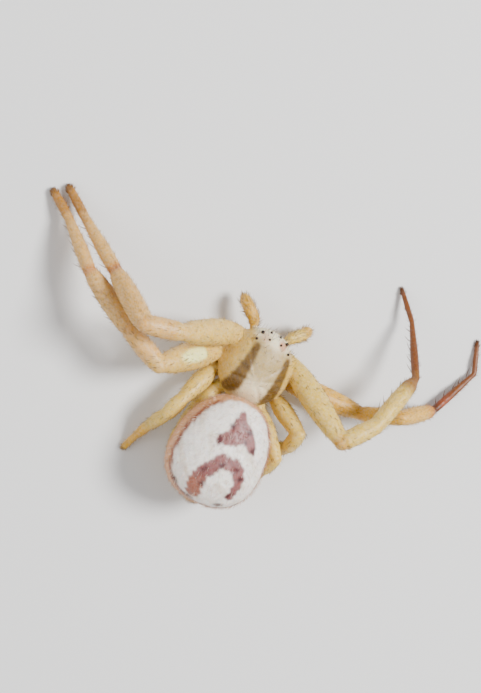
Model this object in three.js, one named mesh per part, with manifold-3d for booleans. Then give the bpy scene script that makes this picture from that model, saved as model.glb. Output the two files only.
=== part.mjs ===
import * as THREE from "three";
import Module from "manifold-3d";

const wasm = await Module();
wasm.setup();

// The spider faces -Y, its left side is +X, the floor is z = 0 and all sizes are millimetres.
const GAP = 0.12;
const SLIVER = 0.012;
const RAD = Math.PI / 180;

// Colours
const CREAM = 0xd9c69c;
const TAN = 0xcbb083;
const PINK_TAN = 0xd0a285;
const RED_BROWN = 0x8f4a2c;
const OLIVE = 0x8d7a5b;
const WHITE = 0xe9e2d8;
const DARK = 0x231a14;

// Carapace and sternum
const CARAPACE = {
  centreY: -1.4,
  halfWidth: 1.46,
  halfLength: 1.52,
  rimZ: 1.46,
  dome: 1.06,
  undersideZ: 1.36,
};
const HUB = { centreY: -1.35, halfWidth: 0.8, halfLength: 1.15, legZ: 0.98, bottomZ: 0.6 };

// Abdomen
const ABDOMEN = {
  centreY: 2.0,
  centreZ: 2.28,
  frontRise: 0.18,
  halfLength: 2.12,
  halfWidth: 1.85,
  halfHeight: 1.38,
};

// Legs: lengths of femur, patella, tibia, metatarsus and tarsus, and the widest radius of each
const LENGTHS = {
  1: [3.85, 1.5, 2.65, 2.55, 1.45],
  2: [3.4, 1.7, 2.6, 2.3, 1.3],
  3: [1.85, 0.8, 1.05, 0.8, 0.65],
  4: [2.05, 0.8, 1.15, 0.8, 0.68],
};
const RADII = {
  1: [0.5, 0.36, 0.37, 0.27, 0.22],
  2: [0.48, 0.35, 0.36, 0.26, 0.22],
  3: [0.37, 0.31, 0.28, 0.25, 0.2],
  4: [0.37, 0.31, 0.28, 0.25, 0.2],
};
const COXA_OUTSIDE = 0.62;
const COXA_INSIDE = 0.35;
const TIP_Z = 0.15;
const TIP_RADIUS = 0.19;
const TARSUS_SLOPE_SHARE = 0.75;

// Pose of each leg in degrees. Azimuth runs from straight ahead toward the leg's own side,
// slope is up from level. The metatarsus and tarsus slopes follow from the floor.
const POSE = [
  {
    name: "left_1", side: 1, pair: 1, coxa: [56, 27],
    azimuth: [112, 104, 48, 52, 51], slope: [42, 10, -44], colour: PINK_TAN, foot: PINK_TAN,
  },
  {
    name: "left_2", side: 1, pair: 2, coxa: [86, 0],
    azimuth: [126, 66, 60, 44, 53], slope: [33, -6, -18], colour: PINK_TAN, foot: PINK_TAN,
  },
  {
    name: "left_3", side: 1, pair: 3, coxa: [112, 4],
    azimuth: [156, 162, 160, 165, 168], slope: [20, -6, -42], colour: CREAM, foot: TAN,
  },
  {
    name: "left_4", side: 1, pair: 4, coxa: [140, -2],
    azimuth: [168, -172, -143, -118, -105], slope: [0, -4, -18], colour: CREAM, foot: TAN,
  },
  {
    name: "right_1", side: -1, pair: 1, coxa: [58, 30],
    azimuth: [125, 39, 21, -18, -36], slope: [30, -3, -19], colour: CREAM, foot: RED_BROWN,
  },
  {
    name: "right_2", side: -1, pair: 2, coxa: [86, -12],
    azimuth: [86, 65, 62, 25, -19], slope: [5, 42, -42], colour: TAN, foot: RED_BROWN,
  },
  {
    name: "right_3", side: -1, pair: 3, coxa: [110, 2],
    azimuth: [124, 178, -170, -165, -170], slope: [35, -42, -70], colour: CREAM, foot: TAN,
  },
  {
    name: "right_4", side: -1, pair: 4, coxa: [136, 6],
    azimuth: [138, -170, -168, -150, -150], slope: [23, -40, -46], colour: CREAM, foot: TAN,
  },
];

// Direction from azimuth and slope
function heading(side, azimuth, slope) {
  const a = azimuth * RAD;
  const e = slope * RAD;
  return new THREE.Vector3(side * Math.sin(a) * Math.cos(e), -Math.cos(a) * Math.cos(e), Math.sin(e));
}

// Centre line of one leg: root inside the body, six joints and the tip
function legPoints(leg) {
  const lengths = LENGTHS[leg.pair];
  const a = leg.coxa[0] * RAD;
  const hub = new THREE.Vector3(
    leg.side * HUB.halfWidth * Math.sin(a),
    HUB.centreY - HUB.halfLength * Math.cos(a),
    HUB.legZ,
  );
  const coxa = heading(leg.side, leg.coxa[0], leg.coxa[1]);
  const points = [
    hub.clone().addScaledVector(coxa, -COXA_INSIDE),
    hub.clone().addScaledVector(coxa, COXA_OUTSIDE),
  ];
  for (let i = 0; i < 3; i += 1) {
    const step = heading(leg.side, leg.azimuth[i], leg.slope[i]).multiplyScalar(lengths[i]);
    points.push(points[i + 1].clone().add(step));
  }
  const fall = points[4].z - TIP_Z;
  let low = 0;
  let high = 89;
  for (let i = 0; i < 50; i += 1) {
    const middle = (low + high) / 2;
    const drop = lengths[3] * Math.sin(middle * RAD)
      + lengths[4] * Math.sin(middle * TARSUS_SLOPE_SHARE * RAD);
    if (drop < fall) {
      low = middle;
    } else {
      high = middle;
    }
  }
  const metatarsus = heading(leg.side, leg.azimuth[3], -low).multiplyScalar(lengths[3]);
  points.push(points[4].clone().add(metatarsus));
  const tarsus = heading(leg.side, leg.azimuth[4], -low * TARSUS_SLOPE_SHARE).multiplyScalar(lengths[4]);
  points.push(points[5].clone().add(tarsus));
  return points;
}

// Closed solid from rings of equal count, with a fan at each end
function solidFromRings(rings) {
  const count = rings[0].length;
  const vertices = [];
  for (const ring of rings) {
    for (const p of ring) {
      vertices.push(p.x, p.y, p.z);
    }
  }
  const ends = [rings[0], rings[rings.length - 1]].map((ring) => {
    const centre = new THREE.Vector3();
    ring.forEach((p) => centre.add(p));
    return centre.divideScalar(count);
  });
  const first = vertices.length / 3;
  ends.forEach((p) => vertices.push(p.x, p.y, p.z));
  const triangles = [];
  for (let i = 0; i + 1 < rings.length; i += 1) {
    for (let j = 0; j < count; j += 1) {
      const a = i * count + j;
      const b = i * count + ((j + 1) % count);
      const c = a + count;
      const d = b + count;
      triangles.push(a, b, d, a, d, c);
    }
  }
  const last = (rings.length - 1) * count;
  for (let j = 0; j < count; j += 1) {
    const next = (j + 1) % count;
    triangles.push(first, next, j);
    triangles.push(first + 1, last + j, last + next);
  }
  return { vertices, triangles };
}

// Signed volume, used to turn every solid to face outward
function facesOut(data) {
  const { vertices, triangles } = data;
  let volume = 0;
  const at = (i) => new THREE.Vector3(vertices[3 * i], vertices[3 * i + 1], vertices[3 * i + 2]);
  for (let i = 0; i < triangles.length; i += 3) {
    volume += at(triangles[i]).dot(at(triangles[i + 1]).cross(at(triangles[i + 2])));
  }
  if (volume < 0) {
    for (let i = 0; i < triangles.length; i += 3) {
      [triangles[i], triangles[i + 1]] = [triangles[i + 1], triangles[i]];
    }
  }
  return data;
}

function manifoldFrom(data) {
  const { vertices, triangles } = facesOut(data);
  const mesh = new wasm.Mesh({
    numProp: 3,
    vertProperties: new Float32Array(vertices),
    triVerts: new Uint32Array(triangles),
  });
  return new wasm.Manifold(mesh);
}

// Every point moved outward along its normal
function inflated(data, distance) {
  const { vertices, triangles } = facesOut(data);
  const normals = new Array(vertices.length).fill(0);
  const at = (i) => new THREE.Vector3(vertices[3 * i], vertices[3 * i + 1], vertices[3 * i + 2]);
  for (let i = 0; i < triangles.length; i += 3) {
    const corners = triangles.slice(i, i + 3);
    const [a, b, c] = corners.map(at);
    const normal = b.sub(a).cross(c.sub(a));
    for (const corner of corners) {
      normals[3 * corner] += normal.x;
      normals[3 * corner + 1] += normal.y;
      normals[3 * corner + 2] += normal.z;
    }
  }
  const moved = vertices.slice();
  for (let i = 0; i < vertices.length; i += 3) {
    const length = Math.hypot(normals[i], normals[i + 1], normals[i + 2]);
    for (let k = 0; k < 3; k += 1) {
      moved[i + k] += (normals[i + k] / length) * distance;
    }
  }
  return { vertices: moved, triangles };
}

// The largest closed body left by the cuts, without the slivers along them
function largestBody(solid) {
  const bodies = solid.decompose();
  bodies.sort((a, b) => b.volume() - a.volume());
  return bodies[0].simplify(SLIVER);
}

// Tube along a centre line. Rings at its ends lie in the given planes, so that neighbours
// meet face to face, and rings at inner bends lie in the plane that halves the bend.
function tube(points, stations, startNormal, endNormal, sides, startGap = GAP / 2, endGap = GAP / 2) {
  const steps = points.slice(1).map((p, i) => p.clone().sub(points[i]));
  const lengths = steps.map((step) => step.length());
  const directions = steps.map((step) => step.clone().normalize());
  const frames = [];
  let across = new THREE.Vector3(0, 0, 1).cross(directions[0]).normalize();
  for (const direction of directions) {
    across = across.clone().addScaledVector(direction, -across.dot(direction)).normalize();
    frames.push([across.clone(), direction.clone().cross(across)]);
  }
  const rings = [];
  for (const [segment, share, radius] of stations) {
    const direction = directions[segment];
    const [side, up] = frames[segment];
    const centre = points[segment].clone().addScaledVector(direction, share * lengths[segment]);
    let plane = null;
    let offset = 0;
    if (share === 0) {
      plane = segment === 0 ? startNormal : directions[segment - 1].clone().add(direction);
      offset = segment === 0 ? startGap : 0;
    }
    if (share === 1 && segment === directions.length - 1) {
      plane = endNormal;
      offset = -endGap;
    }
    const ring = [];
    for (let j = 0; j < sides; j += 1) {
      const angle = (2 * Math.PI * j) / sides;
      const p = centre.clone()
        .addScaledVector(side, radius * Math.cos(angle))
        .addScaledVector(up, radius * Math.sin(angle));
      if (plane) {
        const normal = plane.clone().normalize();
        const distance = offset - p.clone().sub(centre).dot(normal);
        p.addScaledVector(direction, distance / direction.dot(normal));
      }
      ring.push(p);
    }
    rings.push(ring);
  }
  return solidFromRings(rings);
}

// Outline of the carapace seen from above, at a share of its full size
function carapaceOutline(angle) {
  const forward = Math.cos(angle);
  const power = 2.35;
  const round = (Math.abs(Math.sin(angle)) ** power + Math.abs(forward) ** power) ** (-1 / power);
  const narrow = forward > 0 ? 1 - 0.2 * forward ** 2 : 1 - 0.3 * forward ** 2;
  return [CARAPACE.halfWidth * round * narrow * Math.sin(angle), -CARAPACE.halfLength * round * forward];
}

function hubOutline(angle) {
  return [HUB.halfWidth * Math.sin(angle), -HUB.halfLength * Math.cos(angle)];
}

// Head and thorax in one: a domed carapace over the narrower block that carries the legs
function cephalothoraxSurface() {
  const sides = 44;
  const shares = [0.05, 0.2, 0.36, 0.52, 0.66, 0.78, 0.88, 0.955, 1.0];
  const rings = [];
  const ringAt = (outline, centreY, share, height) => {
    const ring = [];
    for (let j = 0; j < sides; j += 1) {
      const angle = (2 * Math.PI * j) / sides;
      const [x, y] = outline(angle);
      ring.push(new THREE.Vector3(share * x, centreY + share * y, height(angle)));
    }
    rings.push(ring);
  };
  for (const share of shares) {
    ringAt(carapaceOutline, CARAPACE.centreY, share, (angle) => {
      const front = Math.max(0, Math.cos(angle)) ** 2;
      const power = 2.5 + 2.5 * front;
      const rise = (1 - share ** power) ** (0.75 - 0.2 * front);
      return CARAPACE.rimZ + 0.05 * front + CARAPACE.dome * rise;
    });
  }
  ringAt(carapaceOutline, CARAPACE.centreY, 0.985, () => CARAPACE.rimZ - 0.08);
  ringAt(carapaceOutline, CARAPACE.centreY, 0.8, () => CARAPACE.undersideZ - 0.02);
  ringAt(hubOutline, HUB.centreY, 1.04, () => CARAPACE.undersideZ - 0.08);
  ringAt(hubOutline, HUB.centreY, 1.0, () => HUB.legZ);
  ringAt(hubOutline, HUB.centreY, 0.9, () => HUB.bottomZ + 0.16);
  ringAt(hubOutline, HUB.centreY, 0.6, () => HUB.bottomZ + 0.03);
  ringAt(hubOutline, HUB.centreY, 0.15, () => HUB.bottomZ);
  return solidFromRings(rings);
}

// Abdomen: an egg, narrower in front, slightly flattened
function abdomenSurface() {
  const sides = 36;
  const count = 24;
  const power = 2.3;
  const rings = [];
  for (let i = 0; i < count; i += 1) {
    const along = -Math.cos((Math.PI * (i + 0.55)) / (count + 0.1));
    const size = (1 - Math.abs(along) ** power) ** (1 / power) * (1 + 0.1 * along);
    const middleZ = ABDOMEN.centreZ + ABDOMEN.frontRise * Math.min(0, along) ** 2;
    const ring = [];
    for (let j = 0; j < sides; j += 1) {
      const angle = (2 * Math.PI * j) / sides;
      const flat = Math.sin(angle) < 0 ? 0.97 : 1.0;
      ring.push(new THREE.Vector3(
        ABDOMEN.halfWidth * size * Math.cos(angle),
        ABDOMEN.centreY + ABDOMEN.halfLength * along,
        middleZ + ABDOMEN.halfHeight * size * Math.sin(angle) * flat,
      ));
    }
    rings.push(ring);
  }
  return solidFromRings(rings);
}

// Small ball for an eye
function ballSurface(centre, radius) {
  const sides = 12;
  const rows = 7;
  const rings = [];
  for (let i = 0; i < rows; i += 1) {
    const angle = (Math.PI * (i + 0.6)) / (rows + 0.2);
    const ring = [];
    for (let j = 0; j < sides; j += 1) {
      const turn = (2 * Math.PI * j) / sides;
      ring.push(new THREE.Vector3(
        centre.x + radius * Math.sin(angle) * Math.cos(turn),
        centre.y + radius * Math.sin(angle) * Math.sin(turn),
        centre.z + radius * Math.cos(angle),
      ));
    }
    rings.push(ring);
  }
  return solidFromRings(rings);
}

// Nodes are kept as closed solids until all of them are cut
const nodes = [];
function addNode(name, solid, colour, roughness = 0.55) {
  nodes.push({ name, solid, colour, roughness });
}

const cephalothoraxData = cephalothoraxSurface();
const abdomenData = abdomenSurface();
const cephalothorax = manifoldFrom(cephalothoraxData);
const abdomen = manifoldFrom(abdomenData);
const cephalothoraxRoom = manifoldFrom(inflated(cephalothoraxData, GAP));
const abdomenRoom = manifoldFrom(inflated(abdomenData, GAP));

addNode("cephalothorax", cephalothorax, OLIVE, 0.5);
addNode("abdomen", abdomen, WHITE, 0.6);

// Waist between the two
const waistPoints = [new THREE.Vector3(0, -0.45, 1.1), new THREE.Vector3(0, 0.95, 1.68)];
const waistNormal = waistPoints[1].clone().sub(waistPoints[0]);
const waist = manifoldFrom(tube(waistPoints, [[0, 0, 0.26], [0, 0.5, 0.26], [0, 1, 0.26]],
  waistNormal, waistNormal, 14));
addNode("waist", largestBody(waist.subtract(cephalothoraxRoom).subtract(abdomenRoom)), TAN);

// Legs
for (const leg of POSE) {
  const points = legPoints(leg);
  const radii = RADII[leg.pair];
  const bend = (i) => points[i].clone().sub(points[i - 1]).normalize()
    .add(points[i + 1].clone().sub(points[i]).normalize());
  const first = points[1].clone().sub(points[0]);
  const last = points[6].clone().sub(points[5]);
  const joint = [0.3, 0.3, radii[1] * 0.85, radii[1] * 0.82, radii[3] * 0.98, radii[4] * 0.95];
  const coxa = tube([points[0], points[1]],
    [[0, 0, 0.2], [0, 0.4, 0.24], [0, 0.72, 0.3], [0, 1, joint[1]]], first, bend(1), 14);
  const femur = tube([points[1], points[2]], [
    [0, 0, joint[1]], [0, 0.14, radii[0] * 0.8], [0, 0.3, radii[0] * 0.97], [0, 0.46, radii[0]],
    [0, 0.64, radii[0] * 0.92], [0, 0.82, (radii[0] + joint[2]) / 2], [0, 1, joint[2]],
  ], bend(1), bend(2), 14);
  const tibia = tube([points[2], points[3], points[4]], [
    [0, 0, joint[2]], [0, 0.45, radii[1]], [1, 0, joint[3]], [1, 0.25, radii[2]],
    [1, 0.55, radii[2] * 0.97], [1, 0.82, radii[2] * 0.84], [1, 1, joint[4]],
  ], bend(2), bend(4), 14);
  const foot = tube([points[4], points[5], points[6]], [
    [0, 0, joint[4]], [0, 0.25, radii[3]], [0, 0.65, radii[3] * 0.95], [1, 0, joint[5]],
    [1, 0.35, radii[4]], [1, 0.8, TIP_RADIUS], [1, 0.93, TIP_RADIUS * 0.8], [1, 1, TIP_RADIUS * 0.4],
  ], bend(4), last, 14, GAP / 2, 0);
  for (let i = 2; i < foot.vertices.length; i += 3) {
    foot.vertices[i] = Math.max(foot.vertices[i], 0);
  }
  addNode(`leg_${leg.name}_coxa`, largestBody(manifoldFrom(coxa).subtract(cephalothoraxRoom)), CREAM);
  const clearFemur = manifoldFrom(femur).subtract(cephalothoraxRoom).subtract(abdomenRoom);
  addNode(`leg_${leg.name}_femur`, largestBody(clearFemur), leg.colour);
  addNode(`leg_${leg.name}_tibia`, largestBody(manifoldFrom(tibia).subtract(abdomenRoom)), leg.colour);
  addNode(`leg_${leg.name}_foot`, manifoldFrom(foot), leg.foot);
}

// Mouthparts
for (const [word, side] of [["left", 1], ["right", -1]]) {
  const jawPoints = [
    new THREE.Vector3(side * 0.23, -2.42, 1.3),
    new THREE.Vector3(side * 0.22, -2.62, 0.95),
    new THREE.Vector3(side * 0.21, -2.72, 0.55),
  ];
  const jawEnd = jawPoints[2].clone().sub(jawPoints[1]);
  const jawStart = jawPoints[1].clone().sub(jawPoints[0]);
  const jaw = tube(jawPoints, [[0, 0, 0.18], [0, 0.6, 0.2], [1, 0, 0.2], [1, 0.6, 0.17], [1, 0.92, 0.13],
    [1, 1, 0.07]], jawStart, jawEnd, 12, 0, 0);
  addNode(`jaw_${word}`, largestBody(manifoldFrom(jaw).subtract(cephalothoraxRoom)), TAN);
  const palpPoints = [
    new THREE.Vector3(side * 0.45, -2.3, 1.05),
    new THREE.Vector3(side * 0.82, -3.0, 1.28),
    new THREE.Vector3(side * 1.22, -3.36, 1.15),
    new THREE.Vector3(side * 1.52, -3.68, 0.74),
  ];
  const palpEnd = palpPoints[3].clone().sub(palpPoints[2]);
  const palpStart = palpPoints[1].clone().sub(palpPoints[0]);
  const palp = tube(palpPoints, [[0, 0, 0.1], [0, 0.45, 0.12], [1, 0, 0.22], [1, 0.5, 0.25], [2, 0, 0.24],
    [2, 0.5, 0.23], [2, 0.85, 0.16], [2, 1, 0.07]], palpStart, palpEnd, 12, 0, 0);
  addNode(`palp_${word}`, largestBody(manifoldFrom(palp).subtract(cephalothoraxRoom)), CREAM);
}

// Spinnerets
const spinneretPoints = [new THREE.Vector3(0, 3.7, 1.65), new THREE.Vector3(0, 4.22, 1.5)];
const spinneretAxis = spinneretPoints[1].clone().sub(spinneretPoints[0]);
const spinnerets = tube(spinneretPoints, [[0, 0, 0.27], [0, 0.5, 0.26], [0, 0.85, 0.2], [0, 1, 0.1]],
  spinneretAxis, spinneretAxis, 12, 0, 0);
addNode("spinnerets", largestBody(manifoldFrom(spinnerets).subtract(abdomenRoom)), TAN);

// Eyes: two curved rows of four, the outer ones of the front row largest
const EYES = [
  { name: "front_middle", x: 0.2, share: 0.93, radius: 0.06 },
  { name: "front_outer", x: 0.52, share: 0.9, radius: 0.085 },
  { name: "rear_middle", x: 0.24, share: 0.76, radius: 0.055 },
  { name: "rear_outer", x: 0.68, share: 0.78, radius: 0.065 },
];
function carapacePoint(x, share) {
  let angle = 0;
  for (let i = 0; i < 40; i += 1) {
    const [outlineX] = carapaceOutline(angle);
    angle += (x / share - outlineX) * 0.4;
  }
  const [, outlineY] = carapaceOutline(angle);
  const front = Math.max(0, Math.cos(angle)) ** 2;
  const rise = (1 - share ** (2.5 + 2.5 * front)) ** (0.75 - 0.2 * front);
  return new THREE.Vector3(x, CARAPACE.centreY + share * outlineY,
    CARAPACE.rimZ + 0.05 * front + CARAPACE.dome * rise);
}
const eyeRoom = manifoldFrom(inflated(cephalothoraxData, 0.03));
for (const eye of EYES) {
  for (const [word, side] of [["left", 1], ["right", -1]]) {
    const centre = carapacePoint(eye.x, eye.share);
    centre.x *= side;
    const ball = manifoldFrom(ballSurface(centre, eye.radius));
    addNode(`eye_${eye.name}_${word}`, largestBody(ball.subtract(eyeRoom)), DARK, 0.15);
  }
}

// The whole spider is moved so that the middle of its bounding box stands over the origin
function meshFrom(node) {
  const mesh = node.solid.getMesh();
  const geometry = new THREE.BufferGeometry();
  const positions = new Float32Array(mesh.numVert * 3);
  for (let i = 0; i < mesh.numVert; i += 1) {
    for (let k = 0; k < 3; k += 1) {
      positions[3 * i + k] = mesh.vertProperties[i * mesh.numProp + k];
    }
  }
  geometry.setAttribute("position", new THREE.BufferAttribute(positions, 3));
  geometry.setIndex(new THREE.BufferAttribute(new Uint32Array(mesh.triVerts), 1));
  geometry.computeVertexNormals();
  const material = new THREE.MeshStandardMaterial({
    color: node.colour,
    roughness: node.roughness,
    metalness: 0,
  });
  const result = new THREE.Mesh(geometry, material);
  result.name = node.name;
  return result;
}

const spider = new THREE.Group();
spider.name = "crab_spider";
for (const node of nodes) {
  spider.add(meshFrom(node));
}
const box = new THREE.Box3().setFromObject(spider);
const middle = box.getCenter(new THREE.Vector3());
for (const mesh of spider.children) {
  mesh.geometry.translate(-middle.x, -middle.y, -box.min.z);
}

export default spider;
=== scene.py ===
import math

import bpy
import numpy as np
from mathutils import Matrix, Vector


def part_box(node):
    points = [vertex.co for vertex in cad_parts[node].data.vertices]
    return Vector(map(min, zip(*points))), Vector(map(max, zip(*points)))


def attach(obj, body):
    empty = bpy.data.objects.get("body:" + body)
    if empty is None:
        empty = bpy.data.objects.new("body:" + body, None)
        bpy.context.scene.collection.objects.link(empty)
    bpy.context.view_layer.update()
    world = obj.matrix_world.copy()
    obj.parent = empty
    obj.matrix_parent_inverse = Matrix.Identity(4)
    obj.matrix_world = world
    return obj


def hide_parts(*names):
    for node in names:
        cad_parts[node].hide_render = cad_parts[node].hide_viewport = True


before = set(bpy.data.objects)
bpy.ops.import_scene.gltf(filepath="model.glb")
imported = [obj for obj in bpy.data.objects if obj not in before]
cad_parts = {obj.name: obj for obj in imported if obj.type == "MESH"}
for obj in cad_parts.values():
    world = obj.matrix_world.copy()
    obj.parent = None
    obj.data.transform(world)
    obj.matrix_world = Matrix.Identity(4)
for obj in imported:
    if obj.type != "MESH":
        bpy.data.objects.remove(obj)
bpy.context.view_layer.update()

# Sizes are worked out in millimetres and scaled to metres at the end.
MM = 0.001
UP = np.array([0, 0, 1.0])
SKIN_VOXEL = 0.042
SKIN_RELAX_ROUNDS = 6
RANDOM = np.random.default_rng(11)

# The spider's own frame: it faces -Y and its waist is near y = 0. The solids stand with their box
# over the origin, and the place of the abdomen says how far they were moved for that.
ABDOMEN_CENTRE = np.array([0.0, 2.0, 2.28])
ABDOMEN_FRONT_RISE = 0.18
low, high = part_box("abdomen")
shift = np.array([
    (low[0] + high[0]) / 2 / MM,
    (low[1] + high[1]) / 2 / MM - ABDOMEN_CENTRE[1],
    0.0,
])

# Carapace and sternum
CARAPACE_Y = -1.4
CARAPACE_HALF_WIDTH = 1.46
CARAPACE_HALF_LENGTH = 1.52
RIM_Z = 1.46
DOME = 1.06
UNDERSIDE_Z = 1.36
HUB_Y = -1.35
HUB_HALF_WIDTH = 0.8
HUB_HALF_LENGTH = 1.15
HUB_LEG_Z = 0.98
HUB_BOTTOM_Z = 0.6
CARAPACE_POWER = 2.35
FRONT_NARROWING = 0.2
REAR_NARROWING = 0.3
DOME_POWER = 2.5
DOME_ROUNDING = 0.75
FRONT_STEEPNESS = 0.2
RIM_FRONT_LIFT = 0.05
CARAPACE_RINGS = 26
BODY_SIDES = 96

# Abdomen
ABDOMEN_HALF = np.array([1.85, 2.12, 1.38])
ABDOMEN_POWER = 2.3
ABDOMEN_REAR_WIDENING = 0.1
ABDOMEN_UNDER_SHARE = 0.97
ABDOMEN_RINGS = 72
ABDOMEN_POLE_INSET = 0.05

# Legs: lengths and radii of the femur, patella, tibia, metatarsus and tarsus of each pair
LENGTHS = {
    1: [3.85, 1.5, 2.65, 2.55, 1.45],
    2: [3.4, 1.7, 2.6, 2.3, 1.3],
    3: [1.85, 0.8, 1.05, 0.8, 0.65],
    4: [2.05, 0.8, 1.15, 0.8, 0.68],
}
RADII = {
    1: [0.5, 0.36, 0.37, 0.27, 0.22],
    2: [0.48, 0.35, 0.36, 0.26, 0.22],
    3: [0.37, 0.31, 0.28, 0.25, 0.2],
    4: [0.37, 0.31, 0.28, 0.25, 0.2],
}
COXA_OUTSIDE = 0.62
COXA_INSIDE = 0.35
TIP_Z = 0.15
TARSUS_SLOPE_SHARE = 0.75
STEEPEST_SLOPE = 89.0
SLOPE_ROUNDS = 50
# Thickness of the skin's femur, patella, tibia, metatarsus and tarsus against the solids' ones,
# whose feet are thicker than in life
SKIN_SHARES = {
    "left_1": (1.04, 1.06, 1.1, 1.0, 0.85),
    "left_2": (1.12, 1.08, 1.1, 1.0, 0.85),
    "left_3": (1.0, 1.0, 0.95, 0.8, 0.72),
    "left_4": (1.0, 1.0, 0.75, 0.7, 0.65),
    "right_1": (1.0, 1.0, 0.92, 0.6, 0.5),
    "right_2": (0.95, 0.95, 0.9, 0.62, 0.5),
    "right_3": (1.0, 1.0, 0.95, 0.8, 0.7),
    "right_4": (1.0, 1.0, 0.95, 0.8, 0.7),
}
# Side, pair, azimuth and slope of the coxa, azimuths of the five parts beyond it, and slopes of the
# first three. The slope of the last two follows from the height of the knee over the floor.
LEGS = {
    "left_1": (1, 1, (56, 27), (112, 104, 48, 52, 51), (42, 10, -44)),
    "left_2": (1, 2, (86, 0), (126, 66, 60, 44, 53), (33, -6, -18)),
    "left_3": (1, 3, (112, 4), (156, 162, 160, 165, 168), (20, -6, -42)),
    "left_4": (1, 4, (140, -2), (168, -172, -143, -118, -105), (0, -4, -18)),
    "right_1": (-1, 1, (58, 30), (125, 39, 21, -18, -36), (30, -3, -19)),
    "right_2": (-1, 2, (86, -12), (86, 65, 62, 25, -19), (5, 42, -42)),
    "right_3": (-1, 3, (110, 2), (124, 178, -170, -165, -170), (35, -42, -70)),
    "right_4": (-1, 4, (136, 6), (138, -170, -168, -150, -150), (23, -40, -46)),
}


def unit(vector):
    return vector / np.linalg.norm(vector)


def heading(side, azimuth, slope):
    """Direction at an azimuth from straight ahead and a slope upward, both in degrees."""
    a = math.radians(azimuth)
    e = math.radians(slope)
    return np.array([side * math.sin(a) * math.cos(e), -math.cos(a) * math.cos(e), math.sin(e)])


def leg_points(key):
    """Root inside the body, the five joints and the tip, as in the solids."""
    side, pair, coxa, azimuths, slopes = LEGS[key]
    lengths = LENGTHS[pair]
    a = math.radians(coxa[0])
    hub = np.array([side * HUB_HALF_WIDTH * math.sin(a), HUB_Y - HUB_HALF_LENGTH * math.cos(a), HUB_LEG_Z])
    out = heading(side, *coxa)
    points = [hub - COXA_INSIDE * out, hub + COXA_OUTSIDE * out]
    for length, azimuth, slope in zip(lengths, azimuths, slopes):
        points.append(points[-1] + length * heading(side, azimuth, slope))
    fall = points[-1][2] - TIP_Z
    lowest, steepest = 0.0, STEEPEST_SLOPE
    for _ in range(SLOPE_ROUNDS):
        middle = (lowest + steepest) / 2
        drop = lengths[3] * math.sin(math.radians(middle))
        drop += lengths[4] * math.sin(math.radians(middle * TARSUS_SLOPE_SHARE))
        if drop < fall:
            lowest = middle
        else:
            steepest = middle
    points.append(points[-1] + lengths[3] * heading(side, azimuths[3], -lowest))
    points.append(points[-1] + lengths[4] * heading(side, azimuths[4], -lowest * TARSUS_SLOPE_SHARE))
    points[-1][2] = TIP_Z * SKIN_SHARES[key][4]
    return np.array(points)


# Closed surfaces in millimetres, waiting to be gathered into one mesh
surfaces = []


def add_rings(rings):
    """A closed surface through rings of equal count, with a fan at each end."""
    count = len(rings[0])
    vertices = [p for ring in rings for p in ring]
    faces = []
    for i in range(len(rings) - 1):
        for j in range(count):
            a = i * count + j
            b = i * count + (j + 1) % count
            faces.append((a, b, b + count, a + count))
    vertices.append(np.mean(rings[0], axis=0))
    vertices.append(np.mean(rings[-1], axis=0))
    first, last = len(vertices) - 2, len(vertices) - 1
    base = (len(rings) - 1) * count
    for j in range(count):
        after = (j + 1) % count
        faces.append((first, after, j))
        faces.append((last, base + j, base + after))
    surfaces.append((np.array(vertices), faces))


def carapace_outline(angle):
    """Rounded square, narrower toward both ends. Angle 0 is the front."""
    forward = math.cos(angle)
    power = CARAPACE_POWER
    rounded = (abs(math.sin(angle)) ** power + abs(forward) ** power) ** (-1 / power)
    narrow = 1 - (FRONT_NARROWING if forward > 0 else REAR_NARROWING) * forward ** 2
    return (CARAPACE_HALF_WIDTH * rounded * narrow * math.sin(angle),
            -CARAPACE_HALF_LENGTH * rounded * forward)


def hub_outline(angle):
    return HUB_HALF_WIDTH * math.sin(angle), -HUB_HALF_LENGTH * math.cos(angle)


def carapace_height(angle, share):
    """Height at a share of the outline. The front is steeper and its rim a little higher."""
    front = max(0.0, math.cos(angle)) ** 2
    rounding = DOME_ROUNDING - FRONT_STEEPNESS * front
    rise = max(0.0, 1 - share ** (DOME_POWER + DOME_POWER * front)) ** rounding
    return RIM_Z + RIM_FRONT_LIFT * front + DOME * rise


# Rings below the rim: outline, y of its middle, share of the outline and height
LOWER_RINGS = [
    (carapace_outline, CARAPACE_Y, 0.985, RIM_Z - 0.08),
    (carapace_outline, CARAPACE_Y, 0.8, UNDERSIDE_Z - 0.02),
    (hub_outline, HUB_Y, 1.04, UNDERSIDE_Z - 0.08),
    (hub_outline, HUB_Y, 1.0, HUB_LEG_Z),
    (hub_outline, HUB_Y, 0.9, HUB_BOTTOM_Z + 0.16),
    (hub_outline, HUB_Y, 0.6, HUB_BOTTOM_Z + 0.03),
    (hub_outline, HUB_Y, 0.15, HUB_BOTTOM_Z),
]


def body_ring(outline, middle_y, share, height):
    """Ring at a share of an outline, with a height for each angle."""
    ring = []
    for j in range(BODY_SIDES):
        angle = 2 * math.pi * j / BODY_SIDES
        x, y = outline(angle)
        ring.append((share * x, middle_y + share * y, height(angle, share)))
    return np.array(ring)


def add_cephalothorax():
    rings = []
    for i in range(1, CARAPACE_RINGS + 1):
        share = math.sin(math.pi / 2 * i / CARAPACE_RINGS)
        rings.append(body_ring(carapace_outline, CARAPACE_Y, share, carapace_height))
    for outline, middle_y, share, z in LOWER_RINGS:
        rings.append(body_ring(outline, middle_y, share, lambda *_: z))
    add_rings(rings)


def polar_steps(count, inset):
    """Angles from one pole to the other. The inset keeps the first and the last off the poles."""
    return [math.pi * (i + (0.5 + inset)) / (count + 2 * inset) for i in range(count)]


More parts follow.
